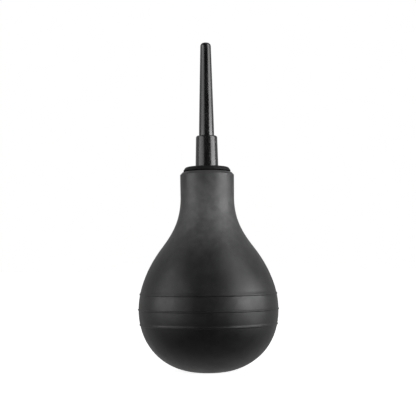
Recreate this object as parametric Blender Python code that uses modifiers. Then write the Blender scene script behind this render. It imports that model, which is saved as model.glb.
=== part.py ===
"""Dust blower bulb: a pear-shaped rubber squeeze bulb with a stopper in its neck, a two-stage nozzle that
turns in the stopper, and a one-way air inlet plugged into its base.

Z is up. The origin is on the floor, under the axis that every turned piece shares. Sizes are in
millimetres, and MM turns them into Blender's metres in one place for each kind of shape.
"""

import math

import bmesh
import bpy
from mathutils import Vector

MM = 0.001
GAP = 0.3  # left between neighbouring pieces
EDGE = 0.2  # a broken edge

# Squeeze bulb, outside
BELLY_RADIUS = 35.0
BELLY_Z = 30.8
SHOULDER_RADIUS = 22.8  # where the outline turns from hollow to full
SHOULDER_Z = 62.3
SHOULDER_ANGLE = 37.2  # of the outline there, away from straight down
SHOULDER_HANDLES = (8.1, 6.4)  # curve handle lengths: towards the neck, towards the belly
NECK_RADIUS = 13.5
NECK_Z = 86.9  # the foot of the straight neck
NECK_HANDLE = 11.1
BELLY_HANDLES = (14.7, 17.6)  # upwards, downwards
MOUTH_RADIUS = 13.6
MOUTH_Z = 99.9
MOUTH_CHAMFER = (1.3, 1.4)  # across, down
FOOT_RADIUS = 8.0  # of the flat that it stands on
FOOT_ANGLE = 6.9  # of the outline as it leaves the floor
FOOT_HANDLE = 15.3

# Squeeze bulb, bands and wall
BAND_Z = 31.2  # the middle band
BAND_PITCH = 7.55
BAND_HEIGHT = 0.33
BAND_WIDTH = 0.9
WALL = 2.6
NECK_BORE = 11.2

# Air inlet in the base
RECESS_RADIUS = 6.2
RECESS_DEPTH = 1.8
INLET_HOLE = 4.3
BASE_TOP = 4.3  # upper side of the thick rim round the inlet hole
VALVE_FLANGE_Z = 0.5  # the flange's face is set back this far from the floor
VALVE_AIR_HOLE = 1.2
VALVE_CUP_BORE = 3.1
VALVE_SEAT_Z = 3.4
VALVE_SEAT_LIP = (0.5, 0.4)  # across, high
VALVE_RIM_Z = 7.4
VALVE_BARB = (0.9, 1.2)  # reach past the shank, height
DISC_RADIUS = 2.7
DISC_THICKNESS = 0.8
DISC_LIFT = 1.2
CAGE_BAR = 0.8  # width of the cage's ring and bars

# Stopper
FLANGE_RADIUS = 12.0
FLANGE_THICKNESS = 2.1
FLANGE_SLOPE = 0.8  # how far its side leans in
PLUG_LENGTH = 16.3  # of the skirt below the flange
PLUG_BORE = 4.3
PLUG_WALL = 1.6  # of the skirt, of the tube inside it, and over them both
PLUG_BARBS = 3
BARB_DEPTH = 0.5

# Nozzle
COLLAR_HEIGHT = 15.7
COLLAR_RADII = (5.78, 5.4)  # at its foot, at its top
COLLAR_ROUND = 1.0  # of its shoulder
SNAP_HEIGHT = 2.5  # of the barbed end of its tail
SNAP_REACH = 0.9  # of that barb past the tail
SOCKET_DEPTH = 11.9
SOCKET_RADII = (4.05, 3.95)  # at its mouth, at its floor
AIRWAY = 1.4
TIP_TOP_Z = 166.1
TIP_RADII = (3.85, 2.7)  # at the collar, at the end
TIP_TAPER = 1.1  # exponent: a little over 1 draws the tip in slightly above the collar
TIP_ROUND = 1.8
TIP_ORIFICE = 0.8
TIP_THROAT = 8.0  # length of the straight bore behind the orifice
SPIGOT_LENGTH = 11.6
SEAL_DROP = 7.4  # from the collar's top to the seal
SEAL_RADII = (3.35, 0.5)  # of its ring, of its section

FLANGE_Z = MOUTH_Z + 0.4
COLLAR_Z = FLANGE_Z + FLANGE_THICKNESS + GAP
COLLAR_TOP_Z = COLLAR_Z + COLLAR_HEIGHT
PLUG_END_Z = FLANGE_Z - PLUG_LENGTH
TUBE_END_Z = PLUG_END_Z + 2.0  # the tube inside the skirt stops short of its end


# ---------------------------------------------------------------- outlines, as (radius, z) points


def cubic(start, handle_a, handle_b, end, steps):
    """Points along a cubic curve, its start left out."""
    points = []
    for n in range(1, steps + 1):
        t = n / steps
        weights = ((1 - t) ** 3, 3 * (1 - t) ** 2 * t, 3 * (1 - t) * t * t, t**3)
        corners = (start, handle_a, handle_b, end)
        points.append(tuple(sum(w * p[i] for w, p in zip(weights, corners)) for i in (0, 1)))
    return points


def arc(centre, radius, start_deg, end_deg, steps):
    """Points on an arc, both ends included. 0 degrees points outwards and 90 up."""
    points = []
    for n in range(steps + 1):
        angle = math.radians(start_deg + (end_deg - start_deg) * n / steps)
        points.append((centre[0] + radius * math.cos(angle), centre[1] + radius * math.sin(angle)))
    return points


def bulb_outline(detail):
    """The bulb from the foot of its neck down to the edge of its flat foot: hollow, full, then the base."""
    slope = math.radians(SHOULDER_ANGLE)
    down = (math.sin(slope), -math.cos(slope))
    lift = math.radians(FOOT_ANGLE)
    neck = (NECK_RADIUS, NECK_Z)
    shoulder = (SHOULDER_RADIUS, SHOULDER_Z)
    belly = (BELLY_RADIUS, BELLY_Z)
    foot = (FOOT_RADIUS, 0.0)
    to_neck, to_belly = SHOULDER_HANDLES
    hollow = cubic(
        neck,
        (NECK_RADIUS, NECK_Z - NECK_HANDLE),
        (SHOULDER_RADIUS - to_neck * down[0], SHOULDER_Z - to_neck * down[1]),
        shoulder,
        5 * detail,
    )
    full = cubic(
        shoulder,
        (SHOULDER_RADIUS + to_belly * down[0], SHOULDER_Z + to_belly * down[1]),
        (BELLY_RADIUS, BELLY_Z + BELLY_HANDLES[0]),
        belly,
        5 * detail,
    )
    base = cubic(
        belly,
        (BELLY_RADIUS, BELLY_Z - BELLY_HANDLES[1]),
        (FOOT_RADIUS + FOOT_HANDLE * math.cos(lift), FOOT_HANDLE * math.sin(lift)),
        foot,
        7 * detail,
    )
    return [neck] + hollow + full + base


def radius_at(points, z):
    """The radius of a descending outline at a height."""
    for (r_a, z_a), (r_b, z_b) in zip(points, points[1:]):
        if z_a >= z >= z_b and z_a > z_b:
            return r_a + (r_b - r_a) * (z_a - z) / (z_a - z_b)
    return points[-1][0]


def banded(points):
    """The outline with a thin raised band at the belly, one above it and one below it."""
    plain = list(points)
    for step in (1, 0, -1):
        middle = BAND_Z + step * BAND_PITCH
        half = BAND_WIDTH / 2
        top, bottom = middle + half, middle - half
        crest = radius_at(plain, middle) + BAND_HEIGHT
        band = [
            (radius_at(plain, top), top),
            (crest, middle + half * 0.4),
            (crest, middle - half * 0.4),
            (radius_at(plain, bottom), bottom),
        ]
        above = [p for p in points if p[1] > top + 0.3]
        below = [p for p in points if p[1] < bottom - 0.3]
        points = above + band + below
    return points


def set_in(points, wall):
    """The outline moved inwards by the wall's thickness, square to itself."""
    inner = []
    for before, point, after in zip(points, points[1:], points[2:]):
        run = Vector((after[0] - before[0], after[1] - before[1])).normalized()
        inner.append((point[0] + wall * run.y, point[1] - wall * run.x))
    return inner


# ---------------------------------------------------------------- building blocks


def clear_scene():
    for obj in list(bpy.data.objects):
        bpy.data.objects.remove(obj, do_unlink=True)


def new_collection(name):
    collection = bpy.data.collections.new(name)
    bpy.context.scene.collection.children.link(collection)
    return collection


def new_material(name, colour, roughness):
    material = bpy.data.materials.new(name)
    material.use_nodes = True
    shader = material.node_tree.nodes["Principled BSDF"]
    shader.inputs["Base Color"].default_value = (*colour, 1.0)
    shader.inputs["Roughness"].default_value = roughness
    shader.inputs["Metallic"].default_value = 0.0
    return material


def turned(name, profile, seat_z, segments, material, closed=True):
    """A turned piece, its origin on the axis at seat_z. The profile runs down its outer side and, on a piece
    with a hole through it, back up the inner side; on a solid piece it starts and ends on the axis."""
    points = [(r * MM, 0.0, (z - seat_z) * MM) for r, z in profile]
    edges = [(n, n + 1) for n in range(len(points) - 1)]
    if closed:
        edges.append((len(points) - 1, 0))
    mesh = bpy.data.meshes.new(name)
    mesh.from_pydata(points, edges, [])
    mesh.materials.append(material)
    piece = bpy.data.objects.new(name, mesh)
    piece.location.z = seat_z * MM
    parts.objects.link(piece)
    screw = piece.modifiers.new("turn", "SCREW")
    screw.axis = "Z"
    screw.angle = math.tau
    screw.steps = segments
    screw.render_steps = segments
    screw.use_merge_vertices = True
    screw.merge_threshold = 0.01 * MM
    screw.use_smooth_shade = True
    return piece


def carry(parent, *children):
    """Parents the children without moving them."""
    bpy.context.view_layer.update()
    for child in children:
        child.parent = parent
        child.matrix_parent_inverse = parent.matrix_world.inverted()


# ---------------------------------------------------------------- the pieces


def make_squeeze_bulb():
    outside = banded(bulb_outline(2))
    mouth = [
        (MOUTH_RADIUS - MOUTH_CHAMFER[0], MOUTH_Z),
        (MOUTH_RADIUS, MOUTH_Z - MOUTH_CHAMFER[1]),
    ]
    inlet = [
        (RECESS_RADIUS, 0.0),
        (RECESS_RADIUS, RECESS_DEPTH),
        (INLET_HOLE, RECESS_DEPTH),
        (INLET_HOLE, BASE_TOP),
        (RECESS_RADIUS, BASE_TOP),
    ]
    inside = set_in(bulb_outline(1), WALL)
    inside.reverse()
    bore_foot = NECK_Z - NECK_HANDLE / 2
    chamber = [p for p in inside if p[0] > FOOT_RADIUS + WALL and p[1] < bore_foot - WALL]
    neck = [(NECK_BORE, bore_foot), (NECK_BORE, MOUTH_Z)]
    profile = mouth + outside + inlet + chamber + neck
    rubber = new_material("bulb_rubber", (0.028, 0.028, 0.03), 0.5)
    return turned("squeeze_bulb", profile, 0.0, 48, rubber)


def make_neck_plug():
    """A stopper moulded hollow from below: a barbed skirt that grips the neck, and a tube for the nozzle."""
    grip = NECK_BORE - GAP
    root = grip - BARB_DEPTH
    top = FLANGE_Z + FLANGE_THICKNESS
    shoulder = FLANGE_RADIUS - FLANGE_SLOPE
    flange = [
        (shoulder - 4 * EDGE, top),
        (shoulder - EDGE, top - 1.5 * EDGE),
        (shoulder, top - 3.5 * EDGE),
        (FLANGE_RADIUS, FLANGE_Z + EDGE),
        (FLANGE_RADIUS - EDGE, FLANGE_Z),
        (root, FLANGE_Z),
    ]
    pitch = (FLANGE_Z - TUBE_END_Z) / PLUG_BARBS
    skirt = []
    for n in range(PLUG_BARBS):
        barb = FLANGE_Z - n * pitch - BARB_DEPTH
        skirt += [(root, barb), (grip, barb - 2 * BARB_DEPTH), (grip, barb - 3.5 * BARB_DEPTH)]
    ceiling = FLANGE_Z - PLUG_WALL
    hollow = [
        (root - EDGE, PLUG_END_Z),
        (grip - PLUG_WALL, PLUG_END_Z),
        (grip - PLUG_WALL, ceiling),
        (PLUG_BORE + PLUG_WALL, ceiling),
        (PLUG_BORE + PLUG_WALL, TUBE_END_Z),
        (PLUG_BORE, TUBE_END_Z),
        (PLUG_BORE, top),
    ]
    plastic = new_material("plug_plastic", (0.012, 0.012, 0.013), 0.6)
    return turned("neck_plug", flange + skirt + hollow, FLANGE_Z, 40, plastic)


def make_nozzle_collar(plastic):
    """The nozzle's lower stage, with a tail that snaps through the stopper and turns in it."""
    tail = PLUG_BORE - GAP
    snap_z = TUBE_END_Z - GAP
    snap_end = snap_z - SNAP_HEIGHT
    foot, top = COLLAR_RADII
    mouth, floor = SOCKET_RADII
    floor_z = COLLAR_TOP_Z - SOCKET_DEPTH
    profile = [
        *arc((top - COLLAR_ROUND, COLLAR_TOP_Z - COLLAR_ROUND), COLLAR_ROUND, 90, 0, 4),
        (foot, COLLAR_Z + EDGE),
        (foot - EDGE, COLLAR_Z),
        (tail, COLLAR_Z),
        (tail, snap_z),
        (tail + SNAP_REACH, snap_z),
        (tail + SNAP_REACH, snap_z - SNAP_HEIGHT / 4),
        (tail - EDGE, snap_end),
        (AIRWAY, snap_end),
        (AIRWAY, floor_z),
        (floor, floor_z),
        (mouth, COLLAR_TOP_Z),
    ]
    return turned("nozzle_collar", profile, COLLAR_Z, 36, plastic)


def make_nozzle_tip(plastic):
    """The nozzle's long tapered stage, with a spigot that carries the seal in a groove."""
    foot, end = TIP_RADII
    length = TIP_TOP_Z - TIP_ROUND - COLLAR_TOP_Z
    taper = []
    steps = 8
    for n in range(1, steps):
        up = 1 - n / steps
        taper.append((foot + (end - foot) * up**TIP_TAPER, COLLAR_TOP_Z + length * up))
    seal_z = COLLAR_TOP_Z - SEAL_DROP
    groove = SEAL_RADII[1] + GAP
    floor = SEAL_RADII[0] - groove
    spigot = foot - EDGE / 2
    spigot_end = COLLAR_TOP_Z - SPIGOT_LENGTH
    profile = [
        (TIP_ORIFICE, TIP_TOP_Z - EDGE / 2),
        *arc((end - TIP_ROUND, TIP_TOP_Z - TIP_ROUND), TIP_ROUND, 88, 0, 5),
        *taper,
        (foot, COLLAR_TOP_Z),
        (spigot, seal_z + groove),
        (floor, seal_z + groove),
        (floor, seal_z - groove),
        (spigot, seal_z - groove),
        (spigot - EDGE / 2, spigot_end + 2 * EDGE),
        (spigot - 2 * EDGE, spigot_end),
        (AIRWAY, spigot_end),
        (AIRWAY, COLLAR_TOP_Z),
        (TIP_ORIFICE, TIP_TOP_Z - TIP_THROAT),
    ]
    return turned("nozzle_tip", profile, COLLAR_TOP_Z, 32, plastic)


def make_tip_o_ring():
    seal_z = COLLAR_TOP_Z - SEAL_DROP
    profile = arc((SEAL_RADII[0], seal_z), SEAL_RADII[1], 90, -270, 10)[:-1]
    rubber = new_material("seal_rubber", (0.02, 0.02, 0.02), 0.4)
    return turned("tip_o_ring", profile, seal_z, 32, rubber)


def make_inlet_valve_body(plastic):
    """A flanged cup that plugs into the base from below, with a raised seat round its air hole."""
    shank = INLET_HOLE - GAP
    flange = RECESS_RADIUS - GAP
    flange_top = RECESS_DEPTH - GAP
    barb_z = BASE_TOP + GAP
    reach, rise = VALVE_BARB
    lip, lip_height = VALVE_SEAT_LIP
    cup_floor = VALVE_SEAT_Z - lip_height
    profile = [
        (VALVE_CUP_BORE, VALVE_RIM_Z),
        (shank, VALVE_RIM_Z),
        (shank, barb_z + rise),
        (shank + reach, barb_z + rise / 2),
        (shank + reach, barb_z),
        (shank, barb_z),
        (shank, flange_top),
        (flange, flange_top),
        (flange, VALVE_FLANGE_Z + EDGE),
        (flange - EDGE, VALVE_FLANGE_Z),
        (VALVE_AIR_HOLE + lip, VALVE_FLANGE_Z),
        (VALVE_AIR_HOLE, VALVE_FLANGE_Z + lip),
        (VALVE_AIR_HOLE, VALVE_SEAT_Z),
        (VALVE_AIR_HOLE + lip, VALVE_SEAT_Z),
        (VALVE_AIR_HOLE + 1.6 * lip, cup_floor),
        (VALVE_CUP_BORE, cup_floor),
    ]
    return turned("inlet_valve_body", profile, VALVE_FLANGE_Z, 32, plastic)


def make_inlet_valve_disc():
    bottom = VALVE_SEAT_Z + GAP
    top = bottom + DISC_THICKNESS
    profile = [
        (0.0, top),
        (DISC_RADIUS - EDGE, top),
        (DISC_RADIUS, top - EDGE),
        (DISC_RADIUS, bottom + EDGE),
        (DISC_RADIUS - EDGE, bottom),
        (0.0, bottom),
    ]
    rubber = new_material("disc_rubber", (0.15, 0.03, 0.02), 0.5)
    return turned("inlet_valve_disc", profile, bottom, 28, rubber, closed=False)


def make_inlet_valve_cage(plastic):
    """A ring pressed into the cup, with a cross that stops the disc."""
    bottom = VALVE_SEAT_Z + 2 * GAP + DISC_THICKNESS + DISC_LIFT
    outer = VALVE_CUP_BORE - GAP
    inner = outer - CAGE_BAR
    profile = [(outer, VALVE_RIM_Z), (outer, bottom), (inner, bottom), (inner, VALVE_RIM_Z)]
    cage = turned("inlet_valve_cage", profile, bottom, 28, plastic)
    span = outer + inner
    for n, size in enumerate(((span, CAGE_BAR, CAGE_BAR), (CAGE_BAR, span, CAGE_BAR))):
        name = f"cage_bar_{n + 1}"
        bar = bmesh.new()
        bmesh.ops.create_cube(bar, size=1.0)
        bmesh.ops.scale(bar, vec=Vector(size) * MM, verts=bar.verts)
        mesh = bpy.data.meshes.new(name)
        bar.to_mesh(mesh)
        bar.free()
        guide = bpy.data.objects.new(name, mesh)
        guide.location.z = (bottom + 0.7 * CAGE_BAR) * MM
        guide.hide_render = True
        guide.display_type = "WIRE"
        cutters.objects.link(guide)
        union = cage.modifiers.new(name, "BOOLEAN")
        union.operation = "UNION"
        union.solver = "EXACT"
        union.object = guide
    return cage


clear_scene()
parts = new_collection("dust_blower_bulb")
cutters = new_collection("cutters")
nozzle_plastic = new_material("nozzle_plastic", (0.014, 0.014, 0.015), 0.2)
valve_plastic = new_material("valve_plastic", (0.02, 0.02, 0.021), 0.4)

bulb = make_squeeze_bulb()
plug = make_neck_plug()
collar = make_nozzle_collar(nozzle_plastic)
tip = make_nozzle_tip(nozzle_plastic)
seal = make_tip_o_ring()
valve = make_inlet_valve_body(valve_plastic)
disc = make_inlet_valve_disc()
cage = make_inlet_valve_cage(valve_plastic)

carry(bulb, plug, valve)
carry(plug, collar)
carry(collar, tip)
carry(tip, seal)
carry(valve, disc, cage)
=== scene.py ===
"""Dust blower bulb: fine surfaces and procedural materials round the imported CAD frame.

Every piece is turned about the Z axis, apart from the cross in the valve's cage. Outlines are (radius, z)
points in millimetres, and each runs down its outer side and back up its inner side, as in the CAD.
"""

import math

import bmesh
import bpy
from mathutils import Euler, Matrix, Vector, noise


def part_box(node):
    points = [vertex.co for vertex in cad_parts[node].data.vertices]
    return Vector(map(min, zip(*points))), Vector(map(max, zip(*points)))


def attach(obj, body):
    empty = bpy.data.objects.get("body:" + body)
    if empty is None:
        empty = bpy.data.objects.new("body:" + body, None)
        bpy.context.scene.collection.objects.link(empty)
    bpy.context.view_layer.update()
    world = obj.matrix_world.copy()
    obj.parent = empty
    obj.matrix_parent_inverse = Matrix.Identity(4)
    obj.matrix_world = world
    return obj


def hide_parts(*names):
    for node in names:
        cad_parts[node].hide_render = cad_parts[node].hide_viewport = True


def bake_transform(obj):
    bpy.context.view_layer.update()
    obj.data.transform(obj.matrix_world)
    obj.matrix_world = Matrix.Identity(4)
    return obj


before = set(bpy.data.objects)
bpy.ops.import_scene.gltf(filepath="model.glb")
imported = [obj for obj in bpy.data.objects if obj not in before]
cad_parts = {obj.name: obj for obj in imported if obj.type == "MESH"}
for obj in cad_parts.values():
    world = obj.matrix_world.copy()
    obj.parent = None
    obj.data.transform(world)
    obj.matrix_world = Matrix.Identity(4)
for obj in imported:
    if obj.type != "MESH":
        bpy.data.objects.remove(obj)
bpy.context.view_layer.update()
scene = bpy.context.scene

MM = 0.001
GAP = 0.3  # the CAD leaves this between neighbouring pieces
WHITE = (1.0, 1.0, 1.0, 1.0)


# ---------------------------------------------------------------- nodes


def node(tree, kind, **settings):
    """Adds a node. Settings are its properties, or, where it has no such property, its inputs' values."""
    made = tree.nodes.new(kind)
    for key, value in settings.items():
        if hasattr(made, key):
            setattr(made, key, value)
        else:
            made.inputs[key.replace("_", " ")].default_value = value
    return made


def map_range(tree, source, low, high, to_low, to_high, smooth=True):
    """Turns the source's range from low to high into to_low to to_high, and holds it there beyond."""
    kind = "SMOOTHSTEP" if smooth else "LINEAR"
    limits = {"From_Min": low, "From_Max": high, "To_Min": to_low, "To_Max": to_high}
    made = node(tree, "ShaderNodeMapRange", interpolation_type=kind, **limits)
    tree.links.new(source, made.inputs["Value"])
    return made.outputs[0]


# ---------------------------------------------------------------- camera

SENSOR = 36.0  # width in millimetres, like the lens
LENS = 81.1
CAMERA_PLACE = (0.0003, -0.472, 0.0539)
CAMERA_TILT = 3.38  # degrees upwards
CAMERA_ROLL = -0.66  # degrees


def add_camera():
    data = bpy.data.cameras.new("camera")
    data.sensor_width = SENSOR
    data.lens = LENS
    data.clip_start = 0.01
    data.clip_end = 50.0
    camera = bpy.data.objects.new("camera", data)
    tilt = Euler((math.radians(90 + CAMERA_TILT), 0.0, 0.0)).to_matrix()
    roll = Matrix.Rotation(math.radians(CAMERA_ROLL), 3, "Z")
    camera.rotation_euler = (tilt @ roll).to_euler()
    camera.location = CAMERA_PLACE
    scene.collection.objects.link(camera)
    scene.camera = camera


# ---------------------------------------------------------------- studio

# brightness of the room along the Y and Z of a direction: component from, to; brightness from, to
ROOM_BEHIND = (-0.4, 0.6, 0.02, 0.42)
ROOM_BELOW = (-0.7, -1.0, 0.0, 0.13)

FLOOR_HALF = 6.0  # half its side, in metres
FLOOR_DROP = 0.0001  # below the foot
FLOOR_GREY = (0.9, 0.9, 0.9, 1.0)
FLOOR_ROUGHNESS = 0.9
FLOOR_GLOW = 0.9

LIGHT_CENTRE = Vector((0.0, 0.0, 0.08))
LIGHT_DISTANCE = 0.6

# name, (first, last) compass direction, (lowest, highest) elevation, brightness, how it shows
SOFTBOXES = (
    ("softbox_right", (47, 94), (-22, 30), 2.3, "gloss"),
    ("strip_right", (43, 98), (3, 12), 7.2, "gloss"),
    ("softbox_right_high", (42, 90), (28, 60), 2.0, "gloss"),
    ("softbox_left", (-90, -34), (-20, 32), 1.1, "gloss"),
    ("strip_left", (-93, -56), (-4, 10.5), 2.4, "gloss"),
    ("softbox_left_high", (-95, -57), (25, 38), 1.7, "gloss"),
    ("fill_front", (-15, 45), (0, 35), 4.2, "matt"),
)


def add_world():
    """White to the camera. Everything else sees a room that is dark in front and pale behind."""
    world = bpy.data.worlds.new("studio")
    scene.world = world
    world.use_nodes = True
    tree = world.node_tree
    tree.nodes.clear()
    link = tree.links.new
    coords = node(tree, "ShaderNodeTexCoord")
    direction = node(tree, "ShaderNodeSeparateXYZ")
    link(coords.outputs["Generated"], direction.inputs[0])
    strength = node(tree, "ShaderNodeMath", operation="ADD")
    link(map_range(tree, direction.outputs["Y"], *ROOM_BEHIND), strength.inputs[0])
    link(map_range(tree, direction.outputs["Z"], *ROOM_BELOW), strength.inputs[1])
    room = node(tree, "ShaderNodeBackground", Color=WHITE)
    link(strength.outputs[0], room.inputs["Strength"])
    paper = node(tree, "ShaderNodeBackground", Color=WHITE, Strength=1.0)
    path = node(tree, "ShaderNodeLightPath")
    mix = node(tree, "ShaderNodeMixShader")
    link(path.outputs["Is Camera Ray"], mix.inputs[0])
    link(room.outputs[0], mix.inputs[1])
    link(paper.outputs[0], mix.inputs[2])
    out = node(tree, "ShaderNodeOutputWorld")
    link(mix.outputs[0], out.inputs[0])


def add_floor():
    """Pale paper, seen from above only, that casts no light on the object."""
    mesh = bpy.data.meshes.new("floor")
    sheet = bmesh.new()
    bmesh.ops.create_grid(sheet, x_segments=4, y_segments=4, size=FLOOR_HALF)
    sheet.to_mesh(mesh)
    sheet.free()
    floor = bpy.data.objects.new("floor", mesh)
    floor.location.z = -FLOOR_DROP
    scene.collection.objects.link(floor)
    material = bpy.data.materials.new("floor_paper")
    material.use_nodes = True
    tree = material.node_tree
    shader = tree.nodes["Principled BSDF"]
    shader.inputs["Base Color"].default_value = FLOOR_GREY
    shader.inputs["Roughness"].default_value = FLOOR_ROUGHNESS
    shader.inputs["Emission Color"].default_value = WHITE
    shader.inputs["Emission Strength"].default_value = FLOOR_GLOW
    clear = node(tree, "ShaderNodeBsdfTransparent")
    side_of = node(tree, "ShaderNodeNewGeometry")
    mix = node(tree, "ShaderNodeMixShader")
    tree.links.new(side_of.outputs["Backfacing"], mix.inputs[0])
    tree.links.new(shader.outputs[0], mix.inputs[1])
    tree.links.new(clear.outputs[0], mix.inputs[2])
    tree.links.new(mix.outputs[0], tree.nodes["Material Output"].inputs["Surface"])
    mesh.materials.append(material)
    floor.visible_diffuse = False
    floor.visible_glossy = False
    floor.visible_shadow = False


def add_softbox(name, compass, above, brightness, lit):
    """A rectangular light aimed at the middle of the object. compass is its (first, last) direction in
    degrees from the camera towards +X, and above its (lowest, highest) elevation in degrees. lit is "gloss"
    for a light that only shows as a reflection, and "matt" for one that never does."""
    data = bpy.data.lights.new(name, "AREA")
    turn = math.radians(sum(compass) / 2)
    rise = math.radians(sum(above) / 2)
    data.shape = "RECTANGLE"
    data.size = 2 * LIGHT_DISTANCE * math.cos(rise) * math.tan(math.radians(compass[1] - compass[0]) / 2)
    data.size_y = 2 * LIGHT_DISTANCE * math.tan(math.radians(above[1] - above[0]) / 2)
    data.energy = brightness * data.size * data.size_y * math.pi
    lamp = bpy.data.objects.new(name, data)
    towards = Vector((math.sin(turn) * math.cos(rise), -math.cos(turn) * math.cos(rise), math.sin(rise)))
    lamp.location = LIGHT_CENTRE + towards * LIGHT_DISTANCE
    lamp.rotation_mode = "QUATERNION"
    lamp.rotation_quaternion = towards.to_track_quat("Z", "Y")
    lamp.visible_camera = False
    lamp.visible_diffuse = lit != "gloss"
    lamp.visible_glossy = lit != "matt"
    scene.collection.objects.link(lamp)


scene.view_settings.view_transform = "Standard"
add_camera()
add_world()
add_floor()
for softbox in SOFTBOXES:
    add_softbox(*softbox)


# ---------------------------------------------------------------- outlines

CORNER_STEPS = 4
CORNER_RUN = 1.15  # where the straight run beside a rounding ends, against where the rounding does
CORNER_SHARE = 0.42  # of the edge beside it, the most that a rounding takes


def cubic(start, handle_a, handle_b, end, steps):
    """Points along a cubic curve, its start left out."""
    points = []
    for n in range(1, steps + 1):
        t = n / steps
        weights = ((1 - t) ** 3, 3 * (1 - t) ** 2 * t, 3 * (1 - t) * t * t, t**3)
        corners = (start, handle_a, handle_b, end)
        points.append(tuple(sum(w * p[i] for w, p in zip(weights, corners)) for i in (0, 1)))
    return points


def arc(centre, radius, start_deg, end_deg, steps):
    """Points on an arc, both ends included. 0 degrees points outwards and 90 up."""
    points = []
    for n in range(steps + 1):
        angle = math.radians(start_deg + (end_deg - start_deg) * n / steps)
        points.append((centre[0] + radius * math.cos(angle), centre[1] + radius * math.sin(angle)))
    return points


def softened(corners):
    """A closed outline with rounded corners. Each corner is (radius, z, rounding). A short straight run is
    left beside each rounding, so that smooth shading stays flat on the faces between."""
    points = []
    count = len(corners)
    for n, (r, z, rounding) in enumerate(corners):
        if rounding <= 0:
            points.append((r, z))
            continue
        here = Vector((r, z))
        before = Vector(corners[n - 1][:2])
        after = Vector(corners[(n + 1) % count][:2])
        to_before = (before - here).normalized()
        to_after = (after - here).normalized()
        reach = min(rounding, CORNER_SHARE * (before - here).length, CORNER_SHARE * (after - here).length)
        a = here + to_before * reach
        b = here + to_after * reach
        points.append(tuple(here + to_before * reach * CORNER_RUN))
        for k in range(CORNER_STEPS + 1):
            t = k / CORNER_STEPS
            points.append(tuple((1 - t) ** 2 * a + 2 * t * (1 - t) * here + t * t * b))
        points.append(tuple(here + to_after * reach * CORNER_RUN))
    return points


def resampled(points, spacing):
    """The outline at steps along its length, each as long as spacing(z) says, with both ends kept."""
    made = [points[0]]
    left = spacing(points[0][1])
    for a, b in zip(points, points[1:]):
        start, run = Vector(a), Vector(b) - Vector(a)
        length = run.length
        at = 0.0
        while length - at > left:
            at += left
            made.append(tuple(start + run * (at / length)))
            left = spacing(made[-1][1])
        left -= length - at
    made.append(points[-1])
    return made


def set_in(points, wall):
    """The outline moved inwards by the wall's thickness, square to itself, its two ends left out."""
    inner = []
    for before, point, after in zip(points, points[1:], points[2:]):
        run = Vector((after[0] - before[0], after[1] - before[1])).normalized()
        inner.append((point[0] + wall * run.y, point[1] - wall * run.x))
    return inner


# ---------------------------------------------------------------- turned meshes

SHARP_ANGLE = 40  # degrees between faces that aren't shaded as one


def even(count):
    return [math.tau * n / count for n in range(count)]


def turned(name, outline, angles, material, closed=True, shift=None):
    """A turned piece about Z. shift(point) may move each vertex, in metres."""
    surface = bmesh.new()
    rings = []
    for r, z in outline:
        if r < 1e-6:
            rings.append([surface.verts.new((0.0, 0.0, z * MM))])
            continue
        ring = []
        for angle in angles:
            ring.append(surface.verts.new((r * math.cos(angle) * MM, r * math.sin(angle) * MM, z * MM)))
        rings.append(ring)
    pairs = list(zip(rings, rings[1:]))
    if closed:
        pairs.append((rings[-1], rings[0]))
    count = len(angles)
    for upper, lower in pairs:
        for n in range(count):
            m = (n + 1) % count
            if len(upper) == 1:
                surface.faces.new((upper[0], lower[n], lower[m]))
            elif len(lower) == 1:
                surface.faces.new((upper[m], upper[n], lower[0]))
            else:
                surface.faces.new((upper[m], upper[n], lower[n], lower[m]))
    if shift:
        for vert in surface.verts:
            vert.co = shift(vert.co)
    surface.normal_update()
    mesh = bpy.data.meshes.new(name)
    surface.to_mesh(mesh)
    surface.free()
    mesh.materials.append(material)
    mesh.shade_smooth()
    mesh.set_sharp_from_angle(angle=math.radians(SHARP_ANGLE))
    piece = bpy.data.objects.new(name, mesh)
    scene.collection.objects.link(piece)
    return piece


# ---------------------------------------------------------------- materials


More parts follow.
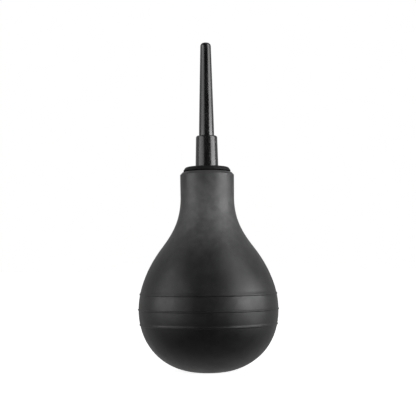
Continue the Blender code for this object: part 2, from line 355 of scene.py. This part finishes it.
class Paint:
    """A Principled material and short ways to feed it."""

    def __init__(self, name):
        self.material = bpy.data.materials.new(name)
        self.material.use_nodes = True
        self.tree = self.material.node_tree
        self.shader = self.tree.nodes["Principled BSDF"]
        self.coords = self.add("ShaderNodeTexCoord").outputs["Object"]

    def link(self, source, target):
        self.tree.links.new(source, target)

    def add(self, kind, **settings):
        return node(self.tree, kind, **settings)

    def noise(self, scale, detail=2.0, roughness=0.5, stretch=None):
        """Noise from 0 to 1, scale features a metre."""
        made = self.add("ShaderNodeTexNoise", Scale=scale, Detail=detail, Roughness=roughness)
        source = self.coords
        if stretch:
            mapping = self.add("ShaderNodeMapping", Scale=stretch)
            self.link(source, mapping.inputs["Vector"])
            source = mapping.outputs[0]
        self.link(source, made.inputs["Vector"])
        return made.outputs["Fac"]

    def height(self):
        split = self.add("ShaderNodeSeparateXYZ")
        self.link(self.coords, split.inputs[0])
        return split.outputs["Z"]

    def ramp(self, source, low, high, to_low, to_high, smooth=True):
        return map_range(self.tree, source, low, high, to_low, to_high, smooth)

    def mottle(self, source):
        """A noise with more contrast: 0 below 0.35 and 1 above 0.7."""
        return self.ramp(source, 0.35, 0.7, 0.0, 1.0)

    def spread(self, source, low, high):
        """A noise's usual range, 0.3 to 0.7, turned into low to high."""
        return self.ramp(source, 0.3, 0.7, low, high)

    def math(self, operation, a, b):
        made = self.add("ShaderNodeMath", operation=operation)
        for n, value in enumerate((a, b)):
            if isinstance(value, (int, float)):
                made.inputs[n].default_value = value
            else:
                self.link(value, made.inputs[n])
        return made.outputs[0]

    def mixed(self, factor, colour_a, colour_b):
        made = self.add("ShaderNodeMix", data_type="RGBA")
        self.link(factor, made.inputs["Factor"])
        for slot_name, colour in (("A", colour_a), ("B", colour_b)):
            target = [i for i in made.inputs if i.name == slot_name and i.type == "RGBA"][0]
            if isinstance(colour, tuple):
                target.default_value = (*colour, 1.0)
            else:
                self.link(colour, target)
        return [o for o in made.outputs if o.type == "RGBA"][0]

    def bumped(self, *layers):
        """Chains bump layers, each (height source, depth in millimetres)."""
        normal = None
        for source, depth in layers:
            bump = self.add("ShaderNodeBump", Strength=1.0, Distance=depth * MM)
            self.link(source, bump.inputs["Height"])
            if normal:
                self.link(normal, bump.inputs["Normal"])
            normal = bump.outputs[0]
        self.link(normal, self.shader.inputs["Normal"])

    def colour(self, source):
        self.link(source, self.shader.inputs["Base Color"])

    def roughness(self, source):
        self.link(source, self.shader.inputs["Roughness"])


# heights in metres over which painted light turns the bulb's belly black to the neck's grey, and that
# painted light dims again towards the mouth; the drift makes both uneven and brings them some 8 mm lower
NECK_FADE = (0.055, 0.088)
MOUTH_FADE = (0.094, 0.106)
MOUTH_SHARE = 0.58  # of the neck's grey that is left at the mouth
FADE_DRIFT = 0.016
BELLY_BLACK = ((0.007, 0.007, 0.0073), (0.011, 0.011, 0.0115))  # plain, mottled
# the neck's grey is painted light, plain and mottled
NECK_PAINTED_LIGHT = ((0.062, 0.062, 0.064), (0.090, 0.090, 0.092))


def bulb_rubber():
    """Black moulded rubber: smooth and dark on the belly, duller towards the neck, with painted light
    greying the neck that dims again near the mouth.
    """
    paint = Paint("bulb_rubber_fine")
    drift = paint.math("MULTIPLY", paint.noise(45, 2.0), FADE_DRIFT)
    level = paint.math("ADD", paint.height(), drift)
    upper = paint.ramp(level, *NECK_FADE, 0.0, 1.0)
    neck_top = paint.ramp(level, *MOUTH_FADE, 1.0, MOUTH_SHARE)
    # painted light that greys the neck, dimmed again near the mouth
    painted_neck_light = paint.math("MULTIPLY", upper, neck_top)
    plain = paint.mixed(painted_neck_light, BELLY_BLACK[0], NECK_PAINTED_LIGHT[0])
    mottled_tone = paint.mixed(painted_neck_light, BELLY_BLACK[1], NECK_PAINTED_LIGHT[1])
    paint.colour(paint.mixed(paint.mottle(paint.noise(220, 4.0, 0.6)), plain, mottled_tone))
    base = paint.ramp(upper, 0.0, 1.0, 0.42, 0.45, smooth=False)
    patchy = paint.spread(paint.noise(130, 3.0), -0.035, 0.035)
    fine = paint.spread(paint.noise(1500, 2.0), -0.03, 0.03)
    paint.roughness(paint.math("ADD", paint.math("ADD", base, patchy), fine))
    dents = (paint.noise(90, 2.0), 0.10)
    grain = (paint.noise(420, 2.0), 0.012)
    dust = (paint.noise(3200, 2.0), 0.004)
    paint.bumped(dents, grain, dust)
    return paint.material


def stopper_plastic():
    """Very dark, matt and slightly pebbled."""
    paint = Paint("plug_plastic_fine")
    mottle = paint.mottle(paint.noise(700, 4.0, 0.65))
    paint.colour(paint.mixed(mottle, (0.004, 0.004, 0.0043), (0.010, 0.010, 0.0105)))
    paint.roughness(paint.spread(paint.noise(420, 3.0), 0.50, 0.64))
    paint.bumped((paint.noise(300, 2.0), 0.05), (paint.noise(2200, 3.0), 0.010))
    paint.shader.inputs["IOR"].default_value = 1.36
    return paint.material


def nozzle_plastic():
    """Glossy black, with faint smudges drawn out along the nozzle."""
    paint = Paint("nozzle_plastic_fine")
    smudge = paint.mottle(paint.noise(240, 3.0, 0.55, stretch=(1.0, 1.0, 0.35)))
    paint.colour(paint.mixed(smudge, (0.003, 0.003, 0.0032), (0.007, 0.007, 0.0074)))
    paint.roughness(paint.ramp(smudge, 0.0, 1.0, 0.20, 0.28, smooth=False))
    paint.bumped((paint.noise(120, 1.0), 0.006), (paint.noise(620, 1.0), 0.0008))
    paint.shader.inputs["IOR"].default_value = 1.8
    return paint.material


def grained(name, grain, colours, roughness, texture):
    """A small moulding. One noise, grain, varies its colour and roughness. texture is (features a metre,
    depth in millimetres) of a finer one on its surface."""
    paint = Paint(name)
    film = paint.noise(*grain)
    paint.colour(paint.mixed(film, *colours))
    paint.roughness(paint.spread(film, *roughness))
    paint.bumped((paint.noise(texture[0], 2.0), texture[1]))
    return paint.material


def seal_rubber():
    colours = ((0.012, 0.012, 0.012), (0.024, 0.024, 0.024))
    return grained("seal_rubber_fine", (900, 3.0), colours, (0.32, 0.46), (4000, 0.003))


def valve_plastic():
    colours = ((0.014, 0.014, 0.0145), (0.028, 0.028, 0.029))
    return grained("valve_plastic_fine", (800, 4.0, 0.6), colours, (0.34, 0.48), (3000, 0.004))


def disc_rubber():
    colours = ((0.16, 0.028, 0.02), (0.23, 0.045, 0.034))
    return grained("disc_rubber_fine", (1200, 3.0), colours, (0.42, 0.56), (3500, 0.004))


# ---------------------------------------------------------------- squeeze bulb

BELLY_RADIUS = 35.0
BELLY_Z = 30.8
SHOULDER_RADIUS = 22.8  # where the outline turns from hollow to full
SHOULDER_Z = 62.3
SHOULDER_ANGLE = 37.2  # of the outline there, away from straight down
SHOULDER_HANDLES = (8.1, 6.4)  # curve handle lengths: towards the neck, towards the belly
NECK_RADIUS = 13.5
NECK_Z = 86.9  # the foot of the straight neck
NECK_HANDLE = 11.1
BELLY_HANDLES = (14.7, 17.6)  # upwards, downwards
FOOT_RADIUS = 8.0  # of the flat that it stands on
FOOT_ANGLE = 6.9  # of the outline as it leaves the floor
FOOT_HANDLE = 15.3
MOUTH_RADIUS = 13.6
MOUTH_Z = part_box("squeeze_bulb")[1].z / MM
MOUTH_CHAMFER = (1.3, 1.4)  # across, down
MOUTH_DEPTH = 4.0  # of the straight rim
WALL = 2.6
NECK_BORE = 11.2

BAND_Z = 31.2  # the middle band
BAND_PITCH = 7.55
BAND_HEIGHT = 0.33
BAND_WIDTH = 0.9

RECESS_RADIUS = 6.2  # in the foot, for the valve's flange
RECESS_DEPTH = 1.8
INLET_HOLE = 4.3
BASE_TOP = 4.3  # upper side of the thick rim round the inlet hole

CURVE_STEPS = (60, 60, 90)  # of the outline's hollow, full and base curves
OUTSIDE_STEP = 0.9  # between the rings of the bulb's mesh
BAND_STEP = 0.09
BAND_REACH = 0.75  # the finer step is used this far above and below a band's middle
INSIDE_STEP = 2.2

SEAM_HALF = 0.45  # half the width of a parting line
SEAM_HEIGHT = 0.025
SEAM_FAN = 12  # directions on each side of a parting line,
SEAM_STEP = 0.22  # and the degrees between them
SIDE_STEPS = 110  # from one parting line's fan to the other's
WAVES = ((70, 0.07, Vector((0, 0, 0))), (190, 0.02, Vector((5, 3, 1))))  # features a metre, height, offset
FOOT_FADE = 4.0  # height over which line and waves set in, so that the foot stays flat


def bulb_outline():
    """The bulb from the foot of its neck down to the edge of its flat foot."""
    slope = math.radians(SHOULDER_ANGLE)
    down = (math.sin(slope), -math.cos(slope))
    lift = math.radians(FOOT_ANGLE)
    neck = (NECK_RADIUS, NECK_Z)
    shoulder = (SHOULDER_RADIUS, SHOULDER_Z)
    belly = (BELLY_RADIUS, BELLY_Z)
    foot = (FOOT_RADIUS, 0.0)
    to_neck, to_belly = SHOULDER_HANDLES
    hollow = cubic(
        neck,
        (NECK_RADIUS, NECK_Z - NECK_HANDLE),
        (SHOULDER_RADIUS - to_neck * down[0], SHOULDER_Z - to_neck * down[1]),
        shoulder,
        CURVE_STEPS[0],
    )
    full = cubic(
        shoulder,
        (SHOULDER_RADIUS + to_belly * down[0], SHOULDER_Z + to_belly * down[1]),
        (BELLY_RADIUS, BELLY_Z + BELLY_HANDLES[0]),
        belly,
        CURVE_STEPS[1],
    )
    base = cubic(
        belly,
        (BELLY_RADIUS, BELLY_Z - BELLY_HANDLES[1]),
        (FOOT_RADIUS + FOOT_HANDLE * math.cos(lift), FOOT_HANDLE * math.sin(lift)),
        foot,
        CURVE_STEPS[2],
    )
    return [neck] + hollow + full + base


def near_band(z):
    """How far a height is from the middle of the nearest of the three bands."""
    return min(abs(z - BAND_Z - step * BAND_PITCH) for step in (-1, 0, 1))


def band_rise(z):
    """How far the thin raised bands stand out at a height."""
    off = near_band(z) / (BAND_WIDTH / 2)
    return BAND_HEIGHT * (1 - off**4) ** 2 if off < 1 else 0.0


def bulb_section():
    """The bulb's whole outline: mouth, outside with its bands, recess and hole in the foot, inside."""
    plain = bulb_outline()
    outside = resampled(plain, lambda z: BAND_STEP if near_band(z) < BAND_REACH else OUTSIDE_STEP)
    outside = [(r + band_rise(z), z) for r, z in outside]
    across, down = MOUTH_CHAMFER
    rim_foot = MOUTH_Z - MOUTH_DEPTH
    mouth = softened(
        [
            (NECK_BORE, MOUTH_Z, 0.3),
            (MOUTH_RADIUS - across, MOUTH_Z, 0.35),
            (MOUTH_RADIUS, MOUTH_Z - down, 0.2),
            (MOUTH_RADIUS, rim_foot, 0.0),
            (NECK_BORE, rim_foot, 0.0),
        ]
    )[:-1]
    inlet = softened(
        [
            (FOOT_RADIUS, 0.0, 0.0),
            (RECESS_RADIUS, 0.0, 0.3),
            (RECESS_RADIUS, RECESS_DEPTH, 0.2),
            (INLET_HOLE, RECESS_DEPTH, 0.2),
            (INLET_HOLE, BASE_TOP, 0.3),
            (RECESS_RADIUS, BASE_TOP, 0.0),
        ]
    )[1:]
    inside = set_in(resampled(plain, lambda z: INSIDE_STEP), WALL)
    inside.reverse()
    bore_foot = NECK_Z - NECK_HANDLE / 2
    chamber = [p for p in inside if p[0] > FOOT_RADIUS + WALL and p[1] < bore_foot - WALL]
    bore = [(NECK_BORE, bore_foot), (NECK_BORE, rim_foot)]
    return mouth + outside + inlet + chamber + bore


def bulb_angles():
    """Directions round the bulb: a close fan at each parting line, and wider steps between the two."""
    edge = math.radians(SEAM_FAN * SEAM_STEP)
    angles = []
    for side in (0.0, math.pi):
        for step in range(-SEAM_FAN, SEAM_FAN + 1):
            angles.append(side + math.radians(step * SEAM_STEP))
        for step in range(1, SIDE_STEPS):
            angles.append(side + edge + (math.pi - 2 * edge) * step / SIDE_STEPS)
    angles.sort()
    return angles


def moulded(co):
    """A point moved out by a faint parting line down both sides, and by the slight unevenness of moulded
    rubber. Nothing as near the axis as the neck's bore moves."""
    reach = math.hypot(co.x, co.y)
    if reach < NECK_BORE * MM + 1e-5:
        return co
    out = Vector((co.x, co.y, 0.0)) / reach
    off = abs(co.y) / (SEAM_HALF * MM)
    seam = SEAM_HEIGHT * (1 - off * off) ** 2 if off < 1 else 0.0
    wave = sum(noise.noise(co * scale + offset) * height for scale, height, offset in WAVES)
    fade = min(1.0, co.z / (FOOT_FADE * MM))
    return co + out * (seam + wave) * MM * fade


def make_bulb():
    bulb = turned("bulb_rubber_body", bulb_section(), bulb_angles(), bulb_rubber(), shift=moulded)
    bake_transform(bulb)
    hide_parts("squeeze_bulb")


# ---------------------------------------------------------------- stopper

PLUG_LOW, PLUG_HIGH = (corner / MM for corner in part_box("neck_plug"))
FLANGE_TOP = PLUG_HIGH.z
FLANGE_RADIUS = PLUG_HIGH.x
FLANGE_THICKNESS = 2.1
FLANGE_Z = FLANGE_TOP - FLANGE_THICKNESS
FLANGE_SLOPE = 1.15  # how far its side leans in
FLANGE_BREAK = 0.25  # of its lower edge
PLUG_END = PLUG_LOW.z
TUBE_END = PLUG_END + 2.0  # the tube inside the skirt stops short of its end
PLUG_BORE = 4.3
PLUG_WALL = 1.6  # of the skirt, of the tube inside it, and over them both
PLUG_BARBS = 3
BARB_DEPTH = 0.5


def make_stopper():
    grip = NECK_BORE - GAP
    root = grip - BARB_DEPTH
    flange = [
        (PLUG_BORE, FLANGE_TOP, 0.15),
        (FLANGE_RADIUS - FLANGE_SLOPE, FLANGE_TOP, 0.9),
        (FLANGE_RADIUS, FLANGE_Z + FLANGE_BREAK, 0.2),
        (FLANGE_RADIUS - FLANGE_BREAK, FLANGE_Z, 0.1),
        (root, FLANGE_Z, 0.2),
    ]
    pitch = (FLANGE_Z - TUBE_END) / PLUG_BARBS
    barbs = []
    for n in range(PLUG_BARBS):
        top = FLANGE_Z - n * pitch - BARB_DEPTH
        barbs += [(root, top, 0.1), (grip, top - 2 * BARB_DEPTH, 0.25), (grip, top - 3.5 * BARB_DEPTH, 0.4)]
    ceiling = FLANGE_Z - PLUG_WALL
    hollow = [
        (root - 0.2, PLUG_END, 0.3),
        (grip - PLUG_WALL, PLUG_END, 0.2),
        (grip - PLUG_WALL, ceiling, 0.6),
        (PLUG_BORE + PLUG_WALL, ceiling, 0.6),
        (PLUG_BORE + PLUG_WALL, TUBE_END, 0.2),
        (PLUG_BORE, TUBE_END, 0.2),
    ]
    stopper = turned("stopper_body", softened(flange + barbs + hollow), even(128), stopper_plastic())
    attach(stopper, "stopper")
    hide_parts("neck_plug")


# ---------------------------------------------------------------- nozzle

COLLAR_LOW, COLLAR_HIGH = (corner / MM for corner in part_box("nozzle_collar"))
COLLAR_TOP = COLLAR_HIGH.z
COLLAR_HEIGHT = 15.9  # reaches into the gap that the CAD leaves above the flange
COLLAR_FOOT = COLLAR_TOP - COLLAR_HEIGHT
COLLAR_RADII = (5.78, 5.4)  # at its foot, at its top
COLLAR_ROUND = 1.0  # of its shoulder
SNAP_REACH = 0.9  # of the barb at the end of its tail
SOCKET_RADIUS = 3.95
SOCKET_DEPTH = 11.9

TIP_LOW, TIP_HIGH = (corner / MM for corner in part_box("nozzle_tip"))
TIP_TOP = TIP_HIGH.z
TIP_RADII = (3.85, 2.7)  # at the collar, at the end
TIP_TAPER = 1.1  # exponent: a little over 1 draws the tip in slightly above the collar
TIP_STEPS = 40
TIP_ROUND = 1.8
TIP_ORIFICE = 0.8
TIP_THROAT = 8.0  # length of the narrow bore behind the orifice
AIRWAY = 1.4

SEAL_DROP = 7.4  # from the collar's top to the seal
SEAL_RING = 3.35
SEAL_GROOVE = 0.8  # its depth from that ring, and half its height


def make_collar(gloss):
    foot, top = COLLAR_RADII
    tail = PLUG_BORE - GAP
    snap = TUBE_END - GAP
    floor = COLLAR_TOP - SOCKET_DEPTH
    shoulder = arc((top - COLLAR_ROUND, COLLAR_TOP - COLLAR_ROUND), COLLAR_ROUND, 90, 1, 14)
    outline = shoulder + softened(
        [
            (foot, COLLAR_FOOT, 0.12),
            (tail, COLLAR_FOOT, 0.0),
            (tail, snap, 0.1),
            (tail + SNAP_REACH, snap, 0.2),
            (tail + SNAP_REACH, snap - 0.6, 0.2),
            (tail - 0.2, COLLAR_LOW.z, 0.3),
            (AIRWAY, COLLAR_LOW.z, 0.3),
            (AIRWAY, floor, 0.2),
            (SOCKET_RADIUS, floor, 0.2),
            (SOCKET_RADIUS, COLLAR_TOP, 0.1),
        ]
    )
    collar = turned("collar_body", outline, even(96), gloss)
    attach(collar, "collar")
    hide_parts("nozzle_collar")


def make_tip(gloss):
    foot, end = TIP_RADII
    orifice = [
        (TIP_ORIFICE, TIP_TOP - 1.2),
        (TIP_ORIFICE, TIP_TOP - 0.35),
        (TIP_ORIFICE + 0.07, TIP_TOP - 0.14),
        (TIP_ORIFICE + 0.22, TIP_TOP - 0.01),
    ]
    nose = arc((end - TIP_ROUND, TIP_TOP - TIP_ROUND), TIP_ROUND, 90, 4, 12)[1:]
    length = TIP_TOP - TIP_ROUND - COLLAR_TOP
    taper = []
    for n in range(1, TIP_STEPS):
        up = 1 - n / TIP_STEPS
        taper.append((foot + (end - foot) * up**TIP_TAPER, COLLAR_TOP + length * up))
    taper += [(foot, COLLAR_TOP), (foot - 0.01, COLLAR_TOP - 1.0)]
    seal = COLLAR_TOP - SEAL_DROP
    floor = SEAL_RING - SEAL_GROOVE
    spigot = foot - 0.1
    below = softened(
        [
            (spigot, seal + SEAL_GROOVE, 0.1),
            (floor, seal + SEAL_GROOVE, 0.1),
            (floor, seal - SEAL_GROOVE, 0.1),
            (spigot, seal - SEAL_GROOVE, 0.1),
            (spigot - 0.1, TIP_LOW.z + 0.4, 0.3),
            (spigot - 0.4, TIP_LOW.z, 0.1),
            (AIRWAY, TIP_LOW.z, 0.2),
            (AIRWAY, COLLAR_TOP, 0.2),
            (TIP_ORIFICE, TIP_TOP - TIP_THROAT, 0.2),
        ]
    )
    tip = turned("tip_body", orifice + nose + taper + below, even(96), gloss)
    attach(tip, "tip")
    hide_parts("nozzle_tip")


def make_seal():
    low, high = (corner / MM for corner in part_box("tip_o_ring"))
    section = (high.z - low.z) / 2
    outline = arc((high.x - section, (high.z + low.z) / 2), section, 90, -270, 24)[:-1]
    seal = turned("tip_seal_ring", outline, even(96), seal_rubber())
    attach(seal, "tip")
    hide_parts("tip_o_ring")


# ---------------------------------------------------------------- inlet valve

VALVE_LOW, VALVE_HIGH = (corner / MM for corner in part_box("inlet_valve_body"))
VALVE_AIR_HOLE = 1.2
VALVE_CUP_BORE = 3.1
VALVE_SEAT_Z = 3.4
VALVE_SEAT_LIP = (0.5, 0.4)  # across, high
VALVE_BARB = (0.9, 1.2)  # reach past the shank, height
VALVE_GROOVE = (3.4, 1.9, 0.25)  # in the flange's face: outer and inner radius, depth
CAGE_BAR = 0.8  # width of the cage's ring and bars

DISC_LOW, DISC_HIGH = (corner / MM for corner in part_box("inlet_valve_disc"))
CAGE_LOW, CAGE_HIGH = (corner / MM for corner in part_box("inlet_valve_cage"))


def make_valve(satin):
    face, flange, rim = VALVE_LOW.z, VALVE_HIGH.x, VALVE_HIGH.z
    shank = INLET_HOLE - GAP
    flange_top = RECESS_DEPTH - GAP
    barb = BASE_TOP + GAP
    reach, rise = VALVE_BARB
    outer, inner, depth = VALVE_GROOVE
    slope = 0.3
    lip, lip_height = VALVE_SEAT_LIP
    cup_floor = VALVE_SEAT_Z - lip_height
    outline = softened(
        [
            (VALVE_CUP_BORE, rim, 0.15),
            (shank, rim, 0.25),
            (shank, barb + rise, 0.1),
            (shank + reach, barb + rise / 2, 0.2),
            (shank + reach, barb, 0.1),
            (shank, barb, 0.0),
            (shank, flange_top, 0.1),
            (flange, flange_top, 0.2),
            (flange, face, 0.25),
            (outer, face, 0.12),
            (outer - slope, face + depth, 0.12),
            (inner + slope, face + depth, 0.12),
            (inner, face, 0.12),
            (VALVE_AIR_HOLE + lip, face, 0.15),
            (VALVE_AIR_HOLE, face + lip, 0.15),
            (VALVE_AIR_HOLE, VALVE_SEAT_Z, 0.1),
            (VALVE_AIR_HOLE + lip, VALVE_SEAT_Z, 0.15),
            (VALVE_AIR_HOLE + 1.6 * lip, cup_floor, 0.1),
            (VALVE_CUP_BORE, cup_floor, 0.2),
        ]
    )
    valve = turned("valve_cup", outline, even(96), satin)
    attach(valve, "inlet_valve")
    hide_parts("inlet_valve_body")


def make_disc():
    low, high, reach = DISC_LOW.z, DISC_HIGH.z, DISC_HIGH.x
    outline = softened(
        [
            (0.0, high, 0.0),
            (reach, high, 0.2),
            (reach, low, 0.2),
            (0.0, low, 0.0),
        ]
    )
    disc = turned("valve_flap", outline, even(64), disc_rubber(), closed=False)
    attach(disc, "valve_disc")
    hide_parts("inlet_valve_disc")


def cage_bar(length, turn, z):
    """A square bar across the cage, turned about Z, with its middle at z."""
    bar = bmesh.new()
    bmesh.ops.create_cube(bar, size=1.0)
    bmesh.ops.scale(bar, vec=Vector((length, CAGE_BAR, CAGE_BAR)) * MM, verts=bar.verts)
    bmesh.ops.rotate(bar, cent=(0, 0, 0), matrix=Matrix.Rotation(turn, 3, "Z"), verts=bar.verts)
    bmesh.ops.translate(bar, vec=(0.0, 0.0, z * MM), verts=bar.verts)
    mesh = bpy.data.meshes.new("cage_bar")
    bar.to_mesh(mesh)
    bar.free()
    guide = bpy.data.objects.new("cage_bar", mesh)
    scene.collection.objects.link(guide)
    return guide


def unite(piece, guide):
    """Joins a guide shape to a piece, and removes the guide."""
    union = piece.modifiers.new("bar", "BOOLEAN")
    union.operation = "UNION"
    union.solver = "EXACT"
    union.object = guide
    bpy.context.view_layer.update()
    graph = bpy.context.evaluated_depsgraph_get()
    joined = bpy.data.meshes.new_from_object(piece.evaluated_get(graph))
    piece.modifiers.clear()
    piece.data = joined
    bpy.data.objects.remove(guide, do_unlink=True)


def make_cage(satin):
    """A ring with a cross that stops the disc."""
    low, high, outer = CAGE_LOW.z, CAGE_HIGH.z, CAGE_HIGH.x
    inner = outer - CAGE_BAR
    outline = softened([(inner, high, 0.15), (outer, high, 0.15), (outer, low, 0.15), (inner, low, 0.15)])
    cage = turned("valve_cage", outline, even(64), satin)
    for turn in (0.0, math.pi / 2):
        unite(cage, cage_bar(outer + inner, turn, low + 0.7 * CAGE_BAR))
    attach(cage, "inlet_valve")
    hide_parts("inlet_valve_cage")


make_bulb()
make_stopper()
nozzle_gloss = nozzle_plastic()
make_collar(nozzle_gloss)
make_tip(nozzle_gloss)
make_seal()
valve_satin = valve_plastic()
make_valve(valve_satin)
make_disc()
make_cage(valve_satin)
